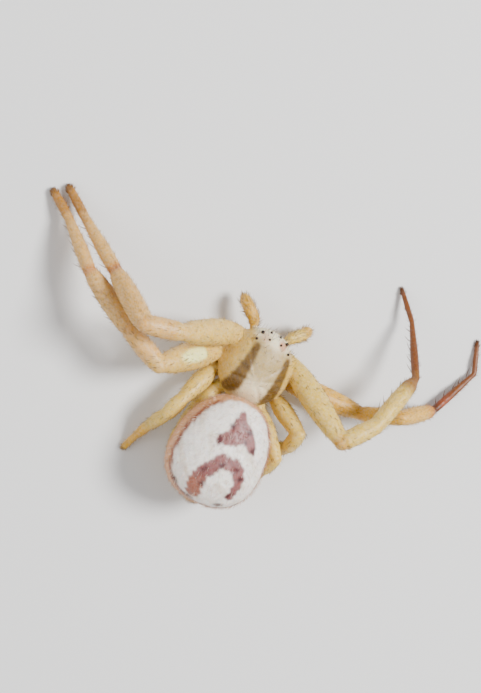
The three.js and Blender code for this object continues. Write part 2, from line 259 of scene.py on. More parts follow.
def abdomen_size(along):
    """Share of the full section at a place along the abdomen, from -1 at the waist to 1."""
    rounded = (1 - abs(along) ** ABDOMEN_POWER) ** (1 / ABDOMEN_POWER)
    return rounded * (1 + ABDOMEN_REAR_WIDENING * along)


def abdomen_middle(along):
    """Height of the abdomen's middle line, which rises toward the waist."""
    return ABDOMEN_CENTRE[2] + ABDOMEN_FRONT_RISE * min(0.0, along) ** 2


def add_abdomen():
    rings = []
    for polar in polar_steps(ABDOMEN_RINGS, ABDOMEN_POLE_INSET):
        along = -math.cos(polar)
        size = abdomen_size(along)
        ring = []
        for j in range(BODY_SIDES):
            angle = 2 * math.pi * j / BODY_SIDES
            flat = ABDOMEN_UNDER_SHARE if math.sin(angle) < 0 else 1.0
            ring.append((
                ABDOMEN_HALF[0] * size * math.cos(angle),
                ABDOMEN_CENTRE[1] + ABDOMEN_HALF[1] * along,
                abdomen_middle(along) + ABDOMEN_HALF[2] * size * math.sin(angle) * flat,
            ))
        rings.append(np.array(ring))
    add_rings(rings)


TUBE_SIDES = 28
BALL_SIDES = 20
BALL_RINGS = 11
BALL_POLE_INSET = 0.1


def add_tube(points, stations):
    """Round tube along straight runs; stations are (run, share, radius)."""
    points = np.asarray(points, float)
    steps = points[1:] - points[:-1]
    lengths = np.linalg.norm(steps, axis=1)
    directions = steps / lengths[:, None]
    across = unit(np.cross(UP, directions[0]))
    frames = []
    for d in directions:
        across = unit(across - d * (across @ d))
        frames.append((across, np.cross(d, across)))
    rings = []
    for run, share, radius in stations:
        side, up = frames[run]
        centre = points[run] + directions[run] * share * lengths[run]
        plane = None
        if share == 0 and run > 0:
            plane = unit(directions[run - 1] + directions[run])
        ring = []
        for j in range(TUBE_SIDES):
            angle = 2 * math.pi * j / TUBE_SIDES
            offset = radius * (math.cos(angle) * side + math.sin(angle) * up)
            if plane is not None:
                offset = offset - directions[run] * (offset @ plane) / (directions[run] @ plane)
            ring.append(centre + offset)
        rings.append(np.array(ring))
    add_rings(rings)


def profile(pairs, steps):
    """Radii at even steps along one run, straight between the given (share, radius) pairs."""
    shares = np.array([p[0] for p in pairs])
    radii = np.array([p[1] for p in pairs])
    even = np.linspace(0, 1, steps)
    return list(zip(even, np.interp(even, shares, radii)))


def add_ball(centre, radius, sides=BALL_SIDES):
    rings = []
    for polar in polar_steps(BALL_RINGS, BALL_POLE_INSET):
        rings.append(np.array([
            (centre[0] + radius * math.sin(polar) * math.cos(2 * math.pi * j / sides),
             centre[1] + radius * math.sin(polar) * math.sin(2 * math.pi * j / sides),
             centre[2] + radius * math.cos(polar))
            for j in range(sides)
        ]))
    add_rings(rings)


legs = {key: leg_points(key) for key in LEGS}

# Shape of each part of a leg, from the coxa to the tarsus: the number of steps along it, and at
# shares along it a named radius and how much of it. The radius "mm" is one millimetre.
LEG_PROFILES = [
    (14, [(0, "mm", 0.2), (0.4, "mm", 0.24), (0.72, "mm", 0.3), (1, "mm", 0.28)]),
    (40, [(0, "mm", 0.25), (0.06, "femur", 0.66), (0.14, "femur", 0.8), (0.3, "femur", 0.97),
          (0.46, "femur", 1), (0.64, "femur", 0.93), (0.82, "above_knee", 1), (0.95, "knee", 1),
          (1, "knee", 0.9)]),
    (24, [(0, "knee", 0.9), (0.08, "patella", 0.93), (0.5, "patella", 1), (0.9, "patella", 0.93),
          (1, "patella", 0.85)]),
    (36, [(0, "patella", 0.8), (0.08, "tibia", 0.93), (0.3, "tibia", 1), (0.6, "tibia", 0.97),
          (0.85, "tibia", 0.84), (0.97, "metatarsus", 1), (1, "metatarsus", 0.85)]),
    (30, [(0, "metatarsus", 0.85), (0.05, "metatarsus", 0.98), (0.4, "metatarsus", 1),
          (0.9, "tarsus", 1), (1, "tarsus", 0.9)]),
    (24, [(0, "tarsus", 0.9), (0.08, "tarsus", 1), (0.5, "tarsus", 0.97), (0.8, "foot", 1),
          (0.93, "foot", 0.8), (1, "foot", 0.4)]),
]
# Balls that round the joints
LEG_JOINTS = [("mm", 0.27), ("knee", 0.97), ("patella", 0.84), ("metatarsus", 0.93), ("tarsus", 0.93)]
KNEE_SHARE = 0.85
FOOT_RADIUS = 0.19


def leg_radii(key):
    names = ("femur", "patella", "tibia", "metatarsus", "tarsus")
    full = RADII[LEGS[key][1]]
    radii = {name: r * share for name, r, share in zip(names, full, SKIN_SHARES[key])}
    radii["mm"] = 1.0
    radii["knee"] = radii["patella"] * KNEE_SHARE
    radii["above_knee"] = (radii["femur"] + radii["knee"]) / 2
    radii["foot"] = FOOT_RADIUS * SKIN_SHARES[key][4]
    return radii


def add_leg(key):
    radii = leg_radii(key)
    for run, (steps, shape) in enumerate(LEG_PROFILES):
        pairs = [(share, radii[name] * part) for share, name, part in shape]
        stations = [(0, share, radius) for share, radius in profile(pairs, steps)]
        add_tube(legs[key][run:run + 2], stations)
    for point, (name, part) in zip(legs[key][1:6], LEG_JOINTS):
        add_ball(point, radii[name] * part)


# Lines of the left jaw and palp, with the run, the share along it and the radius at their stations
JAW_LINE = [(0.23, -2.42, 1.3), (0.22, -2.62, 0.95), (0.21, -2.72, 0.55)]
JAW_STATIONS = [
    (0, 0.0, 0.18), (0, 0.6, 0.2), (1, 0.0, 0.2), (1, 0.6, 0.17), (1, 0.92, 0.12), (1, 1.0, 0.06),
]
PALP_LINE = [(0.45, -2.3, 1.05), (0.82, -3.0, 1.28), (1.22, -3.36, 1.15), (1.52, -3.68, 0.74)]
PALP_STATIONS = [
    (0, 0.0, 0.1), (0, 0.45, 0.12), (1, 0.0, 0.22), (1, 0.5, 0.25), (2, 0.0, 0.24), (2, 0.5, 0.23),
    (2, 0.85, 0.16), (2, 1.0, 0.07),
]
WAIST_LINE = [(0, -0.6, 1.08), (0, 1.2, 1.8)]
WAIST_RADIUS = 0.26
WAIST_STEPS = 8
SPINNERET_LINE = [(0, 3.7, 1.65), (0, 4.22, 1.5)]
SPINNERET_STATIONS = [(0, 0, 0.27), (0, 0.5, 0.26), (0, 0.85, 0.2), (0, 1, 0.1)]


def both_sides(line):
    return [np.array([(side * x, y, z) for x, y, z in line]) for side in (1, -1)]


JAWS = both_sides(JAW_LINE)
PALPS = both_sides(PALP_LINE)


def build_surfaces():
    add_cephalothorax()
    add_abdomen()
    add_tube(WAIST_LINE, [(0, share, WAIST_RADIUS) for share in np.linspace(0, 1, WAIST_STEPS)])
    for key in LEGS:
        add_leg(key)
    for jaw in JAWS:
        add_tube(jaw, JAW_STATIONS)
    for palp in PALPS:
        add_tube(palp, PALP_STATIONS)
    add_tube(SPINNERET_LINE, SPINNERET_STATIONS)


def mesh_object(name, vertices, faces):
    mesh = bpy.data.meshes.new(name)
    mesh.from_pydata([tuple(v) for v in vertices], [], faces)
    mesh.update()
    obj = bpy.data.objects.new(name, mesh)
    bpy.context.scene.collection.objects.link(obj)
    return obj


def placed_object(name, points, faces):
    """Smooth mesh from points in the spider's own frame."""
    obj = mesh_object(name, (points + shift) * MM, faces)
    obj.data.shade_smooth()
    return obj


def outward(vertices, faces):
    """Faces turned round where the closed surface is inside out."""
    volume = 0.0
    for face in faces:
        a = vertices[face[0]]
        for k in range(1, len(face) - 1):
            volume += np.dot(a, np.cross(vertices[face[k]], vertices[face[k + 1]]))
    return faces if volume > 0 else [tuple(reversed(face)) for face in faces]


def gathered():
    """Vertices and outward faces of the surfaces added so far. The list starts afresh."""
    vertices = []
    faces = []
    for points, polygons in surfaces:
        start = len(vertices)
        vertices.extend(points)
        faces.extend(tuple(start + i for i in face) for face in outward(points, polygons))
    surfaces.clear()
    return np.array(vertices), faces


def make_skin():
    """The body, legs, palps and jaws as one closed skin."""
    build_surfaces()
    raw = mesh_object("raw_skin", *gathered())
    remesh = raw.modifiers.new("remesh", "REMESH")
    remesh.mode = "VOXEL"
    remesh.voxel_size = SKIN_VOXEL
    relax = raw.modifiers.new("smooth", "SMOOTH")
    relax.factor = 0.5
    relax.iterations = SKIN_RELAX_ROUNDS
    evaluated = raw.evaluated_get(bpy.context.evaluated_depsgraph_get())
    mesh = bpy.data.meshes.new_from_object(evaluated)
    bpy.data.objects.remove(raw)
    obj = bpy.data.objects.new("skin", mesh)
    mesh.name = "skin"
    bpy.context.scene.collection.objects.link(obj)
    return obj


def smooth(low_edge, high_edge, value):
    """Soft step from 0 at one edge to 1 at the other."""
    t = np.clip((value - low_edge) / (high_edge - low_edge), 0, 1)
    return t * t * (3 - 2 * t)


def near(full, gone, distance):
    """1 up to one distance and 0 beyond the other."""
    return 1 - smooth(full, gone, distance)


def bell(distance, width):
    return np.exp(-(distance / width) ** 2)


def beside_line(p, a, b):
    """Share along the line from a to b at each point, and the way from the line to the point."""
    axis = b - a
    share = np.clip((p - a) @ axis / (axis @ axis), 0, 1)
    return share, p - a - share[:, None] * axis


def srgb(red, green, blue):
    """Linear colour of a screen colour from 0 to 255."""
    c = np.array([red, green, blue]) / 255
    return np.where(c <= 0.04045, c / 12.92, ((c + 0.055) / 1.055) ** 2.4)


def mixed(colours, other, mask):
    """Colours moved toward another one as far as the mask says."""
    return colours + (np.asarray(other) - colours) * np.asarray(mask)[:, None]


# Where each point of the skin belongs. A reach is a share of the part's own size, and the sizes
# beside it turn what is left over into millimetres.
ABDOMEN, CARAPACE, UNDERSIDE, LIMB = range(4)
ABDOMEN_REACH, ABDOMEN_MM = 1.06, 1.5
CARAPACE_REACH, CARAPACE_MM = 1.02, 1.4
HUB_REACH, HUB_MM = 1.05, 0.9
CARAPACE_OVER = 0.12
CARAPACE_BOTTOM_Z = 1.32
SURVEY_DOME_POWER, SURVEY_DOME_ROUNDING = 3, 0.7
COXA_RADIUS = 0.27
LIMB_REACH = 0.97
PALP_RADII = [0.14, 0.23, 0.21]
JAW_RADII = [0.19, 0.16]
RUN_RADIUS = {
    key: [COXA_RADIUS] + [r * LIMB_REACH * share for r, share in zip(RADII[LEGS[key][1]], SKIN_SHARES[key])]
    for key in LEGS
}
limbs = [(key, legs[key], RUN_RADIUS[key]) for key in LEGS]
limbs += [("palp_" + word, palp, PALP_RADII) for word, palp in zip(("left", "right"), PALPS)]
limbs += [("jaw_" + word, jaw, JAW_RADII) for word, jaw in zip(("left", "right"), JAWS)]


def carapace_share(p):
    return np.hypot(p[:, 0] / CARAPACE_HALF_WIDTH, (p[:, 1] - CARAPACE_Y) / CARAPACE_HALF_LENGTH)


def survey(p):
    """Part, limb, run, share along the run, turn round it and lie of the hair at each point."""
    count = len(p)
    relative = (p - ABDOMEN_CENTRE) / ABDOMEN_HALF
    to_abdomen = (np.linalg.norm(relative, axis=1) - ABDOMEN_REACH) * ABDOMEN_MM
    share = carapace_share(p)
    dome = RIM_Z + DOME * np.maximum(0, 1 - share ** SURVEY_DOME_POWER) ** SURVEY_DOME_ROUNDING
    to_carapace = np.maximum.reduce([
        (share - CARAPACE_REACH) * CARAPACE_MM,
        p[:, 2] - dome - CARAPACE_OVER,
        CARAPACE_BOTTOM_Z - p[:, 2],
    ])
    hub = np.hypot(p[:, 0] / HUB_HALF_WIDTH, (p[:, 1] - HUB_Y) / HUB_HALF_LENGTH)
    to_underside = np.maximum((hub - HUB_REACH) * HUB_MM, p[:, 2] - UNDERSIDE_Z)
    nearest = np.full(count, np.inf)
    limb = np.zeros(count, int)
    run = np.zeros(count, int)
    along = np.zeros(count)
    turn = np.zeros(count)
    lie = np.tile([0.0, 1.0, 0.0], (count, 1))
    for i, (_, points, radii) in enumerate(limbs):
        for k, radius in enumerate(radii):
            t, offset = beside_line(p, points[k], points[k + 1])
            distance = np.linalg.norm(offset, axis=1) - radius
            closer = distance < nearest
            nearest[closer] = distance[closer]
            limb[closer] = i
            run[closer] = k
            along[closer] = t[closer]
            direction = unit(points[k + 1] - points[k])
            side = unit(np.cross(UP, direction))
            up = np.cross(direction, side)
            turn[closer] = np.arctan2(offset[closer] @ side, offset[closer] @ up)
            lie[closer] = direction
    part = np.argmin(np.stack([to_abdomen, to_carapace, to_underside, nearest]), axis=0)
    lie[part != LIMB] = (0, 1, 0.0)
    lie[part == CARAPACE] = (0, -1, 0.3)
    return {"part": part, "limb": limb, "run": run, "along": along, "turn": turn, "lie": lie}


# Colours, as seen on a screen
CREAM = srgb(222, 188, 98)
YELLOW_TAN = srgb(217, 168, 73)
DEEP_TAN = srgb(176, 124, 58)
PINK_TAN = srgb(220, 174, 104)
WARM_CREAM = srgb(224, 186, 100)
# Colour of the pale mark and painted highlight on the second left femur
PALE_SPOT_AND_HIGHLIGHT = srgb(255, 250, 168)
RED_JOINT = srgb(170, 72, 30)
RED_BROWN = srgb(120, 66, 24)
DARK_RING = srgb(78, 34, 14)
OLIVE = srgb(94, 65, 10)
OLIVE_EDGE = srgb(134, 96, 30)
MEDIAN = srgb(187, 161, 110)
MEDIAN_PALE = srgb(244, 228, 190)
RIM_TAN = srgb(213, 177, 94)
EYE_WHITE = srgb(247, 235, 198)
HEAD_ORANGE = srgb(190, 106, 56)
WHITE = srgb(250, 242, 232)
MAROON = srgb(128, 50, 48)
DARK_MAROON = srgb(72, 20, 26)
ORANGE_BROWN = srgb(160, 83, 52)
FLANK = srgb(211, 146, 85)
FLANK_LINE = srgb(128, 56, 34)
BELLY = srgb(202, 172, 122)

# Tones of the coxa, femur, patella, tibia, metatarsus and tarsus of each leg
PLAIN_LEG = [CREAM] * 4 + [YELLOW_TAN] * 2
FRONT_LEFT_LEG = [YELLOW_TAN, WARM_CREAM, PINK_TAN, PINK_TAN, PINK_TAN, DEEP_TAN]
LIMB_TONES = {
    "left_1": FRONT_LEFT_LEG,
    "left_2": FRONT_LEFT_LEG,
    "left_3": PLAIN_LEG,
    "left_4": PLAIN_LEG,
    "right_1": [CREAM] * 4 + [RED_BROWN] * 2,
    "right_2": [YELLOW_TAN] * 4 + [RED_BROWN] * 2,
    "right_3": PLAIN_LEG,
    "right_4": PLAIN_LEG,
    "palp_left": [YELLOW_TAN] * 3,
    "palp_right": [CREAM, CREAM, YELLOW_TAN],
    "jaw_left": [YELLOW_TAN, DEEP_TAN],
    "jaw_right": [YELLOW_TAN, DEEP_TAN],
}
# Tinted joints: leg, joint counted from the coxa, colour, reach along the leg and strength
JOINT_TINTS = [
    ("right_1", 2, RED_JOINT, 0.28, 0.45),
    ("right_1", 4, RED_BROWN, 0.62, 0.85),
    ("right_2", 2, RED_JOINT, 0.25, 0.35),
    ("right_2", 4, RED_JOINT, 0.7, 0.55),
    ("right_2", 4, DARK_RING, 0.3, 0.9),
    ("left_1", 4, RED_JOINT, 0.26, 0.7),
    ("left_2", 4, RED_JOINT, 0.22, 0.7),
    ("left_1", 3, RED_JOINT, 0.24, 0.3),
    ("left_2", 3, RED_JOINT, 0.24, 0.3),
]
# Pale mark with painted highlight atop the second left femur: share along it, half length and half width
PALE_PATCH_AND_HIGHLIGHT = ("left_2", 0.53, 0.8, 0.2)
PALE_PATCH_AND_HIGHLIGHT_STRENGTH = 0.97
# Both fade between two shares of their reach
PALE_PATCH_AND_HIGHLIGHT_FADE = (0.7, 1.15)
TINT_FADE = (0.7, 1.7)
# Shares along a run between which its tone goes over into the next one's
TONE_BLEND = (0.75, 1.25)


def limb_colours(p, where):
    colours = np.zeros((len(p), 3))
    for i, (name, _, radii) in enumerate(limbs):
        tones = LIMB_TONES[name]
        mine = where["limb"] == i
        for run in range(len(radii)):
            here = mine & (where["run"] == run)
            after = tones[min(run + 1, len(tones) - 1)]
            colours[here] = mixed(tones[run], after, smooth(*TONE_BLEND, where["along"][here]))
    for name, joint, tone, reach, strength in JOINT_TINTS:
        distance = np.linalg.norm(p - legs[name][joint], axis=1)
        mine = where["limb"] == list(LEGS).index(name)
        fade = near(reach * TINT_FADE[0], reach * TINT_FADE[1], distance)
        colours = mixed(colours, tone, strength * mine * fade)
    name, share, half_length, half_width = PALE_PATCH_AND_HIGHLIGHT
    start, end = legs[name][1:3]
    axis = unit(end - start)
    centre = start + share * (end - start)
    forward = (p - centre) @ axis / half_length
    sideways = (p - centre) @ np.cross(axis, TOWARD) / half_width
    # Only the femur's side toward the camera gets the patch, because part of it is a painted highlight
    mine = (where["limb"] == list(LEGS).index(name)) & ((p - centre) @ TOWARD > 0)
    patch = near(*PALE_PATCH_AND_HIGHLIGHT_FADE, np.hypot(forward, sideways))
    return mixed(colours, PALE_SPOT_AND_HIGHLIGHT, PALE_PATCH_AND_HIGHLIGHT_STRENGTH * mine * patch)


# Marks of the abdomen: x and y of a line's points and the half width at each
FIRST_CHEVRON = [
    [(0.09, 0.4, 0.12), (0.04, 0.8, 0.32), (0.04, 1.2, 0.38), (0.29, 1.42, 0.26), (0.56, 1.6, 0.16)],
    [(0.02, 0.8, 0.3), (-0.4, 1.14, 0.32), (-0.74, 1.42, 0.2)],
]
SECOND_CHEVRON = [
    [(0.12, 2.26, 0.26), (0.38, 2.6, 0.26), (0.58, 2.98, 0.28), (0.62, 3.36, 0.3), (0.48, 3.76, 0.3)],
    [(0.12, 2.26, 0.26), (-0.33, 2.26, 0.26), (-0.66, 2.42, 0.25), (-0.86, 2.7, 0.2), (-0.84, 3.36, 0.17)],
]
CHEVRON_STRENGTH = 0.92
CHEVRON_EDGE = 0.035
CHEVRON_SHAKE = 0.07
SPOT_FADE = (0.06, 0.16)
# Dark spots on the marks, dark marks at the rim, and where the orange part of the rear mark begins
CHEVRON_SPOTS = [
    (0.33, 0.93), (-0.37, 0.9), (0.56, 1.62), (-0.8, 1.47), (-0.4, 1.3), (0.6, 2.84), (0.4, 3.34),
    (-0.84, 2.6), (-0.78, 3.34), (-0.55, 2.34), (0.05, 2.42),
]
RIM_MARKS = [(1.2, 3.66, 2.78), (0.44, 4.0, 2.8), (-0.67, 3.8, 3.0), (-1.2, 3.5, 2.75)]
RIM_MARK_STRETCH = (1.6, 1.0, 0.8)
RIM_MARK_FADE = (0.08, 0.2)
ORANGE_FROM_Y = (2.9, 3.5)
ORANGE_FROM_X = (-0.3, 0.3)
# Height of the line between the white top and the flank, and of the fade to the belly
FLANK_START, FLANK_HEIGHT, FLANK_DROP = 0.2, 2.9, 0.05
FLANK_EDGE = (-0.06, 0.1)
FLANK_LINE_BELOW, FLANK_LINE_WIDTH = 0.05, 0.1
FLANK_LINE_FROM_Y = (0.05, 0.5)
BELLY_FADE_Z = (1.4, 2.1)


def on_top(x, y):
    """Point of the abdomen's upper surface."""
    along = (y - ABDOMEN_CENTRE[1]) / ABDOMEN_HALF[1]
    size = abdomen_size(along)
    rounded = math.sqrt(max(0.0, 1 - (x / (ABDOMEN_HALF[0] * size)) ** 2))
    return np.array([x, y, abdomen_middle(along) + ABDOMEN_HALF[2] * size * rounded])


def line_mask(p, line):
    """1 inside a line of varying half width that lies on the abdomen's top."""
    mask = np.zeros(len(p))
    for (x0, y0, r0), (x1, y1, r1) in zip(line, line[1:]):
        share, offset = beside_line(p, on_top(x0, y0), on_top(x1, y1))
        outside = np.linalg.norm(offset, axis=1) - (r0 + (r1 - r0) * share)
        mask = np.maximum(mask, near(-CHEVRON_EDGE, CHEVRON_EDGE, outside))
    return mask


RIPPLE_WAVES = 3


def ripple(p, waves):
    """Smooth unevenness from a few waves in three directions."""
    value = np.zeros(len(p))
    for number in range(1, RIPPLE_WAVES + 1):
        way = np.array([math.cos(1.7 * number), math.sin(2.3 * number), math.cos(3.1 * number)])
        turned = p @ way * waves * number ** 0.6
        value += np.sin(turned + 1.3 * number + 1.5 * np.sin(1.7 * p[:, 0] * waves ** 0.5 + number))
    return value / RIPPLE_WAVES


def chevron_colours(colours, p):
    """The two maroon marks and their dark spots."""
    shaken = p + CHEVRON_SHAKE * np.stack([ripple(p, 13), ripple(p + 3, 15), 0 * p[:, 0]], axis=1)
    marks = np.maximum.reduce([line_mask(shaken, line) for line in FIRST_CHEVRON + SECOND_CHEVRON])
    orange = smooth(*ORANGE_FROM_Y, p[:, 1]) * smooth(*ORANGE_FROM_X, p[:, 0])
    tone = mixed(MAROON, ORANGE_BROWN, orange)
    tone = mixed(tone, DARK_MAROON, 0.4 * smooth(0.0, 0.8, ripple(p, 22)))
    colours = mixed(colours, tone, CHEVRON_STRENGTH * marks)
    for x, y in CHEVRON_SPOTS:
        distance = np.linalg.norm(shaken - on_top(x, y), axis=1)
        colours = mixed(colours, DARK_MAROON, 0.95 * near(*SPOT_FADE, distance))
    return colours


def flank_colours(colours, p):
    """The tan flank with its broken line, the belly and the dark marks at the rim."""
    line = FLANK_HEIGHT - FLANK_DROP * (p[:, 1] - FLANK_START) + 0.05 * ripple(p, 9)
    colours = mixed(colours, FLANK, 0.85 * near(*FLANK_EDGE, p[:, 2] - line))
    colours = mixed(colours, BELLY, near(*BELLY_FADE_Z, p[:, 2]))
    streak = bell(p[:, 2] - line + FLANK_LINE_BELOW, FLANK_LINE_WIDTH) * smooth(*FLANK_LINE_FROM_Y, p[:, 1])
    streak *= 0.9 + 0.5 * ripple(p, 14)
    colours = mixed(colours, FLANK_LINE, np.clip(streak, 0, 0.9))
    for mark in RIM_MARKS:
        distance = np.linalg.norm((p - np.array(mark)) / RIM_MARK_STRETCH, axis=1)
        colours = mixed(colours, DARK_RING, 0.85 * near(*RIM_MARK_FADE, distance))
    return colours


def abdomen_colours(p):
    colours = mixed(WHITE, MEDIAN, 0.3 * smooth(0.0, 0.9, ripple(p, 5)))
    return flank_colours(chevron_colours(colours, p), p)


# Marks of the carapace, measured from its middle line
MIDDLE_X = -0.12
BAND_CENTRE = 0.8
BAND_LEAN = 0.1
BAND_REAR_Y, BAND_FRONT_Y = -0.42, -2.12
BAND_REAR_HALF, BAND_FRONT_HALF = 0.29, 0.13
BAND_EDGE = 0.06
PALE_REAR_Y = (-1.3, -0.6)
PALE_FRONT_Y = (-2.15, -2.5)
PALE_ACROSS = (0.3, 0.75)
RIM_SHARE = (0.86, 0.97)
RIM_FROM_Y = (-2.0, -1.5)
BROW_Y = (-2.35, -2.6)
BROW_ACROSS = (0.75, 1.0)
# Orange patches between the eyes: x, y and strength
HEAD_PATCHES = [(0.36, -2.56, 0.35), (-0.36, -2.56, 0.7)]
HEAD_PATCH_FADE = (0.1, 0.26)


def band_distance(p, across):
    """Distance to the edge of the dark band, less than 0 inside it."""
    back = np.clip((p[:, 1] - BAND_FRONT_Y) / (BAND_REAR_Y - BAND_FRONT_Y), 0, 1)
    half = BAND_FRONT_HALF + (BAND_REAR_HALF - BAND_FRONT_HALF) * back
    beyond = np.maximum(0, p[:, 1] - BAND_REAR_Y) + np.maximum(0, BAND_FRONT_Y - p[:, 1])
    return np.hypot(across - (BAND_CENTRE - BAND_LEAN * (1 - back)), beyond) - half


def carapace_colours(p):
    across = np.abs(p[:, 0] - MIDDLE_X + 0.02 * ripple(p, 12))
    pale = np.maximum(smooth(*PALE_REAR_Y, p[:, 1]), smooth(*PALE_FRONT_Y, p[:, 1]))
    colours = mixed(MEDIAN, MEDIAN_PALE, 0.85 * pale * near(*PALE_ACROSS, across))
    rim = smooth(BAND_CENTRE - 0.1, BAND_CENTRE + 0.15, across)
    rim = np.maximum(rim, smooth(*RIM_SHARE, carapace_share(p)) * smooth(*RIM_FROM_Y, p[:, 1]))
    colours = mixed(colours, RIM_TAN, 0.9 * rim)
    tone = mixed(OLIVE, OLIVE_EDGE, 0.5 * smooth(-0.2, 0.9, ripple(p, 15)))
    colours = mixed(colours, tone, 0.95 * near(-BAND_EDGE, BAND_EDGE, band_distance(p, across)))
    brow = smooth(*BROW_Y, p[:, 1]) * near(*BROW_ACROSS, across)
    colours = mixed(colours, EYE_WHITE, 0.8 * brow)
    for x, y, strength in HEAD_PATCHES:
        distance = np.hypot(p[:, 0] - x, p[:, 1] - y)
        colours = mixed(colours, HEAD_ORANGE, strength * near(*HEAD_PATCH_FADE, distance))
    return colours


def skin_colours(p, where):
    colours = limb_colours(p, where)
    for part, part_colours in ((ABDOMEN, abdomen_colours), (CARAPACE, carapace_colours)):
        here = where["part"] == part
        colours[here] = part_colours(p[here])
    colours[where["part"] == UNDERSIDE] = YELLOW_TAN
    return colours


def softened(values, edges, rounds):
    """Values averaged with their neighbours along the mesh's edges."""
    weight = np.bincount(edges.ravel(), minlength=len(values))[:, None]
    for _ in range(rounds):
        total = np.zeros_like(values)
        np.add.at(total, edges[:, 0], values[edges[:, 1]])
        np.add.at(total, edges[:, 1], values[edges[:, 0]])
        values = 0.5 * values + 0.5 * total / np.maximum(weight, 1)
    return values


# Relief of the skin: furrows of the carapace, dimples and folds of the abdomen, with how deep
# and how wide they are. Furrows and dimples are mirrored to the other side.
FURROWS = [
    [(0.0, -0.75), (0.0, -1.05)],
    [(0.2, -1.15), (0.62, -1.7), (0.85, -2.25)],
    [(0.25, -1.0), (0.95, -1.3)],
    [(0.25, -0.85), (0.95, -0.75)],
    [(0.15, -0.7), (0.6, -0.3)],
]
DIMPLES = [(0.3, 1.05), (0.42, 1.75), (0.4, 2.45), (0.34, 3.0)]
FURROW_DEPTH, FURROW_WIDTH = 0.03, 0.07
DIMPLE_DEPTH, DIMPLE_WIDTH = 0.035, 0.08
FOLD_DEPTH, FOLD_WAVES = 0.012, 16
FOLD_FADE_Z = (2.2, 3.0)
UNEVEN_DEPTH, UNEVEN_WAVES = 0.008, 11


def relief(p, where):
    """How far each point of the skin is moved out along its normal."""
    depth = np.zeros(len(p))
    carapace = where["part"] == CARAPACE
    abdomen = where["part"] == ABDOMEN
    mirrored = np.stack([np.abs(p[:, 0]), p[:, 1]], axis=1)
    for furrow in FURROWS:
        for a, b in zip(np.array(furrow), np.array(furrow[1:])):
            _, offset = beside_line(mirrored, a, b)
            furrowed = bell(np.linalg.norm(offset, axis=1), FURROW_WIDTH)
            depth = np.minimum(depth, -FURROW_DEPTH * furrowed * carapace)
    on_back = abdomen & (p[:, 2] > ABDOMEN_CENTRE[2])
    for x, y in DIMPLES:
        distance = np.hypot(mirrored[:, 0] - x, mirrored[:, 1] - y)
        depth -= DIMPLE_DEPTH * bell(distance, DIMPLE_WIDTH) * on_back
    low_side = abdomen * near(*FOLD_FADE_Z, p[:, 2])
    depth += FOLD_DEPTH * low_side * np.sin(FOLD_WAVES * p[:, 2] + 2 * ripple(p, 3))
    depth += UNEVEN_DEPTH * abdomen * ripple(p, UNEVEN_WAVES)
    return depth


def read_vectors(mesh, what):
    values = np.empty(len(mesh.vertices) * 3)
    mesh.vertices.foreach_get(what, values)
    return values.reshape(-1, 3)


def paint(mesh, colours):
    """Colour attribute that the materials read."""
    tint = mesh.color_attributes.new("tint", "FLOAT_COLOR", "POINT")
    tint.data.foreach_set("color", np.hstack([colours, np.ones((len(colours), 1))]).ravel())


# The photo's viewing direction, from the spider toward the camera
TILT_LEFT = math.radians(16)
TILT_BACK = math.radians(2)
TOWARD = unit(np.array([
    math.sin(TILT_LEFT), math.sin(TILT_BACK), math.cos(TILT_LEFT) * math.cos(TILT_BACK),
]))

skin = make_skin()
coords = read_vectors(skin.data, "co")
normals = read_vectors(skin.data, "normal")
places = survey(coords)
edges = np.empty(len(skin.data.edges) * 2, dtype=int)
skin.data.edges.foreach_get("vertices", edges)
edges = edges.reshape(-1, 2)
skin_tint = softened(np.clip(skin_colours(coords, places), 0, 1), edges, 2)
coords = coords + normals * relief(coords, places)[:, None]
coords[:, 2] = np.maximum(coords[:, 2], 0.0)
skin.data.vertices.foreach_set("co", ((coords + shift) * MM).ravel())
skin.data.update()
skin.data.shade_smooth()
paint(skin.data, skin_tint)


# Hairs and spines: thin bent cones, all joined into two meshes
HAIR_RINGS = 3
HAIR_SIDES = 3
HAIR_TAPER = 0.7
RISE_SPREAD = 0.14
RISE_LIMITS = (0.05, 1.5)
LENGTH_SHARES = (0.6, 1.15)
# A direction that hardly any hair has, to set up the sides of each hair
ODD_WAY = (0.31, 0.42, 0.85)
# Lowest height of hairs and claws, so that they stay over the floor
FLOOR_GAP = 0.004
# The unwrap: rows of strips with a margin, the body's stretch along y, and a hair's patch
ATLAS_ROWS = len(limbs) + 3
ROW_MARGIN = 0.06
END_MARGIN = 0.02
BODY_FRONT_Y, BODY_SPAN_Y, BODY_AXIS_Z = -4, 9, 1.6
PATCH_SIZE = 0.003


def atlas_place(indices):
    """Place on an unwrap of the skin: one strip for each limb and for each part of the body."""
    part = places["part"][indices]
    limb = places["limb"][indices]
    runs = np.array([len(radii) for _, _, radii in limbs])[limb]
    p = coords[indices]
    body_u = (p[:, 1] - BODY_FRONT_Y) / BODY_SPAN_Y
    body_v = np.arctan2(p[:, 0], p[:, 2] - BODY_AXIS_Z) / (2 * math.pi) + 0.5
    on_limb = part == LIMB
    u = np.where(on_limb, (places["run"][indices] + places["along"][indices]) / runs, body_u)
    v = np.where(on_limb, places["turn"][indices] / (2 * math.pi) + 0.5, body_v)
    row = np.where(on_limb, limb, len(limbs) + part)
    across = row + ROW_MARGIN + (1 - 2 * ROW_MARGIN) * v
    return np.stack([END_MARGIN + (1 - 2 * END_MARGIN) * u, across / ATLAS_ROWS], axis=1)


